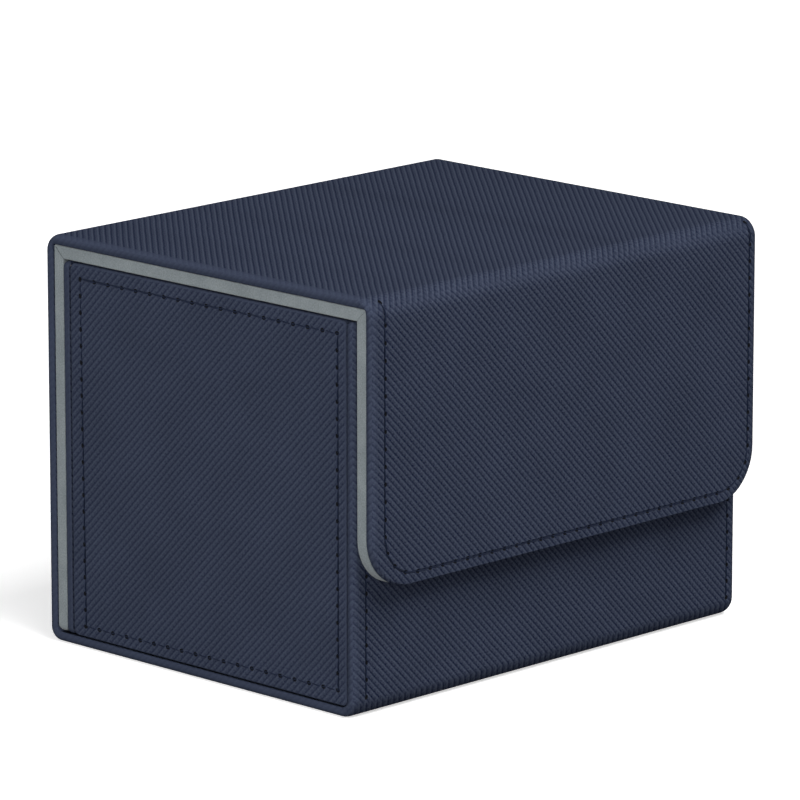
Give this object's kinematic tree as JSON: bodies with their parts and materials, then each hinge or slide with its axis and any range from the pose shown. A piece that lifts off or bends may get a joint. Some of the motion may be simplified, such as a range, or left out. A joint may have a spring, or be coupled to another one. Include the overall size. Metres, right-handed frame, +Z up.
{
  "type": "card storage box",
  "caption": "Rigid leatherette card box with a fold-over lid, a magnetic front flap, stitched sides and a grey microfibre lining.",
  "frame": {"origin": "middle of the footprint, on the surface that the closed box stands on", "axes": "+X to the right seen from the flap side, +Y to the back, +Z up"},
  "size_m": [0.103, 0.0852, 0.078],
  "materials": {
    "leatherette": "navy embossed leatherette, satin",
    "grey_microfibre": "short-napped grey microfibre, matt",
    "grey_board": "pressed greyboard, matt",
    "navy_thread": "twisted polyester sewing thread",
    "nickel_magnet": "nickel-plated disc magnet"
  },
  "bodies": {
    "tray": {"cover_wrap": "leatherette", "back_hinge": "leatherette", "back_wall_skin": "leatherette", "left_side_skin": "leatherette", "right_side_skin": "leatherette", "back_cover_lining": "grey_microfibre", "floor_lining": "grey_microfibre", "left_lining": "grey_microfibre", "right_lining": "grey_microfibre", "front_lining": "grey_microfibre", "back_lining": "grey_microfibre", "front_board": "grey_board", "bottom_board": "grey_board", "back_board": "grey_board", "back_wall_board": "grey_board", "left_side_board": "grey_board", "right_side_board": "grey_board", "back_cover_lining_board": "grey_board", "left_side_stitching": "navy_thread", "right_side_stitching": "navy_thread", "front_left_stitching": "navy_thread", "front_right_stitching": "navy_thread", "wall_magnet_left": "nickel_magnet", "wall_magnet_right": "nickel_magnet"},
    "lid": {"lid_skin": "leatherette", "front_hinge": "leatherette", "lid_board": "grey_board", "lid_lining": "grey_microfibre", "lid_lining_board": "grey_board"},
    "flap": {"flap_skin": "leatherette", "flap_board": "grey_board", "flap_lining": "grey_microfibre", "flap_lining_board": "grey_board", "flap_stitching": "navy_thread", "flap_magnet_left": "nickel_magnet", "flap_magnet_right": "nickel_magnet"}
  },
  "joints": [
    {"name": "lid_hinge", "type": "hinge", "parent": "tray", "child": "lid", "pos_m": [0, 0.0416, 0.077], "axis": [-1, 0, 0], "range_deg": [0, 175], "deforming": ["back_hinge"]},
    {"name": "flap_hinge", "type": "hinge", "parent": "lid", "child": "flap", "pos_m": [0, -0.0416, 0.077], "axis": [-1, 0, 0], "range_deg": [0, 175], "deforming": ["front_hinge"]}
  ]
}
